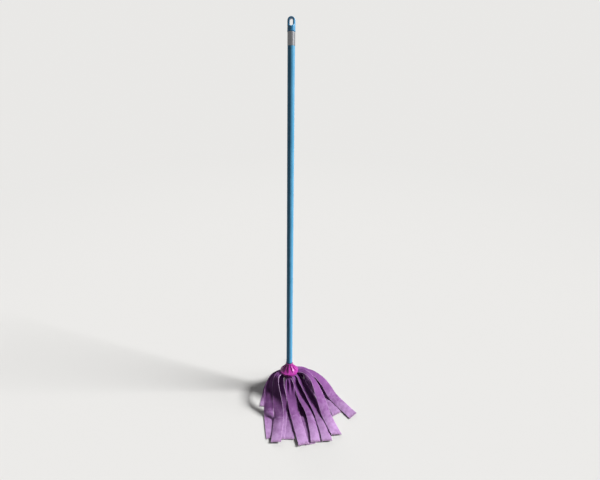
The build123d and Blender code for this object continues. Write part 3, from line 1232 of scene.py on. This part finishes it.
        # Upper and lower skin
        aside, rise, slope = flat_place, 0 * flat_place, 0 * flat_place
        if tail.doubled:
            aside, rise, slope = self.folded(flat_place, share)
        middle = place[:, None] + side[:, None] * aside[..., None] + direction[:, None] * ahead[..., None]
        middle = middle + up[:, None] * (offset + rise)[..., None]
        skin = up[:, None] * np.cos(slope)[..., None] - side[:, None] * np.sin(slope)[..., None]
        points = self.round_strip(middle + skin * thick[..., None], middle - skin * thick[..., None])
        points[..., 2] = np.maximum(points[..., 2], self.floor_gap)
        # Flat places in metres, with the lower side 0.1 m beside the upper and each tail 0.5 m after the last
        uv = MM * np.stack(np.broadcast_arrays(flat_place, along), axis=-1)
        uv = self.round_strip(uv, uv + [0.1, 0.0]) + [0.0, 0.5 * seed]
        # Pale band along the sides and the cut end, partly painted highlight
        cut = eased(1 - np.minimum(from_side, from_end) / self.cut_band)
        # Share along the tail, which sets the painted shade at the clamp and the painted light towards the
        # cut end
        painted_shade_and_light = np.broadcast_to(along / total, cut.shape)
        soil_run = self.soil_run + self.soil_wander * wander(w * half, self.soil_period, rng)
        soil = self.soil * eased(1 - from_end / soil_run)
        marks = {
            "cut_edge": self.round_strip(cut, cut),
            "painted_shade_and_light": self.round_strip(painted_shade_and_light, painted_shade_and_light),
            "soil": self.round_strip(soil, soil),
        }
        faces = self.skin_faces(*cut.shape)
        return make_piece(
            tail.name + "_felt", MM * points.reshape(-1, 3), faces, material, 60.0, uv.reshape(-1, 2), marks)

    def build(self) -> None:
        """Makes and dresses every tail, each riding on the head in place of its node."""
        felt = NeedledFelt("lilac needled felt", "#8E5B98", 0.9).make()
        for number, tail in enumerate(self.tails):
            piece = self.tail_piece(tail, felt, number + 1)
            settle(piece, Body.HEAD, tail.name)


# The numbers after a name are the tail's layer, length, exit_angle, rise, out, land_x, land_y, back, steep
# and heading, as the strips were laid out. What follows is where it differs from a plain tail.
TAILS = [
    FeltTail(
        "strip_1_right_tail", 0, 312, 10, 0.34, 62, 146, -98, 36, 26, -64, pile=3, cup=-2.0, twist=-4.0,
        tip_skew=5.0, bend=12.0, sink=5.0, wave=1.0, tilt=-2.5, bow=-4.0, crown=2.6),
    FeltTail(
        "strip_1_left_tail", 0, 296, -160, 0.46, 34, -28, -114, 8, 58, -89, pile=2, cup=2.5, twist=5.0,
        tip_skew=-1.0, bend=12.0, wave=1.0, tilt=5.0, bow=2.0, crown=2.2),
    FeltTail(
        "strip_2_right_tail", 1, 320, 22, -0.14, 78, 164, -10, 26, 38, -46, pile=1, cup=-2.5,
        tip_skew=1.0, bend=16.0, wave=1.2, crown=1.8),
    FeltTail(
        "strip_2_left_tail", 1, 302, 178, -0.22, 54, -71, -92, 4, 60, -75, cup=6.0, twist=-14.0,
        tip_lift=0.0, bend=15.0, wave=0.2, tilt=-2.0, bow=3.7, drift=1.0, crown=0.3),
    FeltTail(
        "strip_3_right_tail", 2, 294, 44, -0.26, 60, 140, 6, 20, 24, -65, tip_skew=-2.0),
    FeltTail(
        "strip_3_left_tail", 2, 263, -146, -3.0, 9, -20, -88, 30, 26, -90, pile=1, pleat=1.4,
        bend=8.0, tilt=3.0, drift=4.0, spread=0.2),
    FeltTail(
        "strip_4_right_tail", 3, 298, -10, -1.7, 26, 126, -96, 34, 24, -78, pile=2, pleat=1.6, cup=-1.5,
        tip_skew=1.5, bend=8.0, tilt=-3.0, bow=-10.0, crown=2.4, spread=0.2),
    FeltTail(
        "strip_4_left_tail", 3, 204, 166, -0.7, 40, -85, -12, 20, 10, -92),
    FeltTail(
        "strip_5_front_tail", 4, 285, -38, -13.0, 4.5, 98, -98, 34, 24, -84, pile=1, pleat=1.6, cup=-2.0,
        tip_skew=-1.5, bend=8.0, tilt=-6.0, bow=-12.0, crown=2.6),
    FeltTail(
        "strip_5_back_tail", 4, 185, 138, -1.1, 32, -53, 30, 28, 0, -80, tucked=True, tip_lift=0.0, wave=0.0),
    FeltTail(
        "strip_6_front_tail", 5, 272, -88, -4.8, 6, 28, -92, 34, 22, -71, pile=1, pleat=3.0, cup=1.0,
        crease=(112.0, 1.4, 8.0), bend=8.0, wave=0.8, tilt=-6.0, crown=2.2, spread=0.25),
    FeltTail(
        "strip_6_back_tail", 5, 236, 72, -0.1, 55, 30, 55, 55, 0, -108, tucked=True, tip_lift=0.0, wave=0.0),
    FeltTail(
        "strip_7_front_tail", 6, 282, -40, -7.0, 4.5, 58, -72, 32, 0, -76, pleat=0.4, bend=6.0, spread=0.16),
    FeltTail(
        "strip_7_back_tail", 6, 195, 104, -0.6, 30, -9, 80, 30, 0, 91, tip_lift=0.0, bow=-5.0, doubled=True),
    FeltTail(
        "strip_8_front_tail", 7, 255, -92, -5.0, 4.5, 14, -66, 30, 2, -88, pleat=0.4,
        bend=6.0, tilt=2.0, drift=-2.0, spread=0.2),
    FeltTail(
        "strip_8_back_tail", 7, 190, 40, -0.4, 40, 73, 40, 24, 8, -60, bow=10.0, spread=0.15),
]


# Studio


@dataclass(frozen=True)
class Lamp:
    """A far lamp: where it stands, how strong it is and how wide it looks, angles in degrees.

    Azimuth 0 is in front of the object and 90 on its right.
    """

    name: str
    azimuth: float
    height: float
    strength: float
    spread: float

    def build(self) -> None:
        """Hangs the lamp."""
        data = bpy.data.lights.new(self.name, "SUN")
        data.energy = self.strength
        data.angle = math.radians(self.spread)
        lamp = bpy.data.objects.new(self.name, data)
        turn = Matrix.Rotation(math.radians(self.azimuth), 4, "Z")
        tip = Matrix.Rotation(math.radians(90 - self.height), 4, "X")
        lamp.matrix_world = turn @ tip
        bpy.context.scene.collection.objects.link(lamp)


@dataclass
class Studio:
    """Pale floor, soft light from the right and a camera at the photograph's viewing angle.

    Places, rings and fade are in metres, the camera's angles in degrees, lens and sensor in millimetres.
    """

    camera_place: tuple[float, float, float] = (0.0962, -0.8847, 1.177)
    camera_pitch: float = 29.39
    camera_yaw: float = 3.5
    lens: float = 20.88
    sensor: float = 36.0
    clip_end: float = 200.0
    floor_rings: tuple[float, ...] = (0.0, 1.0, 4.0, 12.0, 40.0)
    floor_columns: int = 96
    floor_colour: str = "#E9E8E6"
    floor_bounce: str = "#6A6A6C"
    backdrop: str = "#F2F1EF"
    backdrop_strength: float = 0.92
    fade: tuple[float, float] = (1.2, 3.5)
    lamps: tuple[Lamp, ...] = (
        Lamp("window_top", 95.0, 38.0, 4.2, 14.0),
        Lamp("window_foot", 90.0, 16.0, 0.8, 20.0),
        Lamp("back_fill", 205.0, 28.0, 0.6, 30.0),
    )
    sky: float = 0.05

    def camera(self) -> None:
        """Sets the camera by its place, the angle it looks down and the angle it looks to the left."""
        pitch, yaw = math.radians(self.camera_pitch), math.radians(self.camera_yaw)
        level_ahead = np.array([-math.sin(yaw), math.cos(yaw), 0.0])
        ahead = math.cos(pitch) * level_ahead - math.sin(pitch) * UP
        right = np.array([math.cos(yaw), math.sin(yaw), 0.0])
        up = np.cross(right, ahead)
        data = bpy.data.cameras.new("camera")
        data.sensor_width = self.sensor
        data.lens = self.lens
        data.clip_end = self.clip_end
        camera = bpy.data.objects.new("camera", data)
        turned = Matrix(np.stack([right, up, -ahead], axis=1).tolist()).to_4x4()
        camera.matrix_world = Matrix.Translation(self.camera_place) @ turned
        bpy.context.scene.collection.objects.link(camera)
        bpy.context.scene.camera = camera

    @staticmethod
    def seen(tree: bpy.types.NodeTree) -> bpy.types.NodeSocket:
        """Adds an output that is 1 for what the camera, a mirror or glass looks straight at, and else 0.

        Args:
            tree: the tree that gets the nodes.

        Returns:
            The output.
        """
        path = add_node(tree, "LightPath")
        mirrored = add_node(
            tree, "Math", {"operation": "MAXIMUM"},
            {0: path.outputs["Is Camera Ray"], 1: path.outputs["Is Glossy Ray"]})
        through = add_node(
            tree, "Math", {"operation": "MAXIMUM"},
            {0: mirrored.outputs["Value"], 1: path.outputs["Is Transmission Ray"]})
        return through.outputs["Value"]

    def floor(self) -> None:
        """A wide round floor: rings of a circle from its middle out, pale to look at but giving little light.

        Far from the object what is seen of it fades into the backdrop, so that no horizon shows.
        """
        material = bpy.data.materials.new("pale floor paint")
        material.use_nodes = True
        tree = material.node_tree
        tree.nodes.clear()
        bounce, shown = linear(self.floor_bounce), linear(self.floor_colour)
        colour = add_node(
            tree, "Mix", {"data_type": "RGBA", MIX_FIRST: bounce, MIX_SECOND: shown},
            {MIX_SHARE: self.seen(tree)})
        paint = add_node(tree, "BsdfDiffuse", links={"Color": colour.outputs[MIX_RESULT]})
        place = add_node(tree, "TexCoord")
        away = add_node(tree, "VectorMath", {"operation": "LENGTH"}, {0: place.outputs["Object"]})
        near, far = self.fade
        distant = add_node(
            tree, "MapRange", {"From Min": near, "From Max": far, "interpolation_type": "SMOOTHSTEP"},
            {"Value": away.outputs["Value"]})
        faded = add_node(
            tree, "Math", {"operation": "MULTIPLY"}, {0: distant.outputs["Result"], 1: self.seen(tree)})
        haze = add_node(
            tree, "Emission", {"Color": linear(self.backdrop), "Strength": self.backdrop_strength})
        surface = add_node(
            tree, "MixShader",
            links={0: faded.outputs["Value"], 1: paint.outputs["BSDF"], 2: haze.outputs["Emission"]})
        add_node(tree, "OutputMaterial", links={"Surface": surface.outputs["Shader"]})
        rings = np.array(self.floor_rings)[:, None]
        points = round_points(rings, ring_angles(self.floor_columns)[None, :], np.zeros((1, 1)))
        faces = grid_faces(*points.shape[:2], wrap_columns=True)
        make_piece("floor", points.reshape(-1, 3), faces, material, weld=True)

    def light(self) -> None:
        """Lamps for a tall window and a fill behind, and a sky that is pale to look at and gives little."""
        for lamp in self.lamps:
            lamp.build()
        world = bpy.data.worlds.new("studio")
        bpy.context.scene.world = world
        world.use_nodes = True
        tree = world.node_tree
        tree.nodes.clear()
        strength = add_node(
            tree, "MapRange", {"To Min": self.sky, "To Max": self.backdrop_strength},
            {"Value": self.seen(tree)})
        sky = add_node(
            tree, "Background", {"Color": linear(self.backdrop)}, {"Strength": strength.outputs["Result"]})
        add_node(tree, "OutputWorld", links={"Surface": sky.outputs["Background"]})

    def build(self) -> None:
        """Sets the stage."""
        bpy.context.scene.view_settings.view_transform = "Standard"
        self.camera()
        self.floor()
        self.light()


def main() -> None:
    """Builds the studio and every piece in order."""
    logging.basicConfig(level=logging.INFO, format="%(message)s")
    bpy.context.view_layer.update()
    Studio().build()
    Handle().build()
    ThreadPlug().build()
    MopSocket().build()
    FeltHead(tails=TAILS).build()


if __name__ == "__main__":
    main()
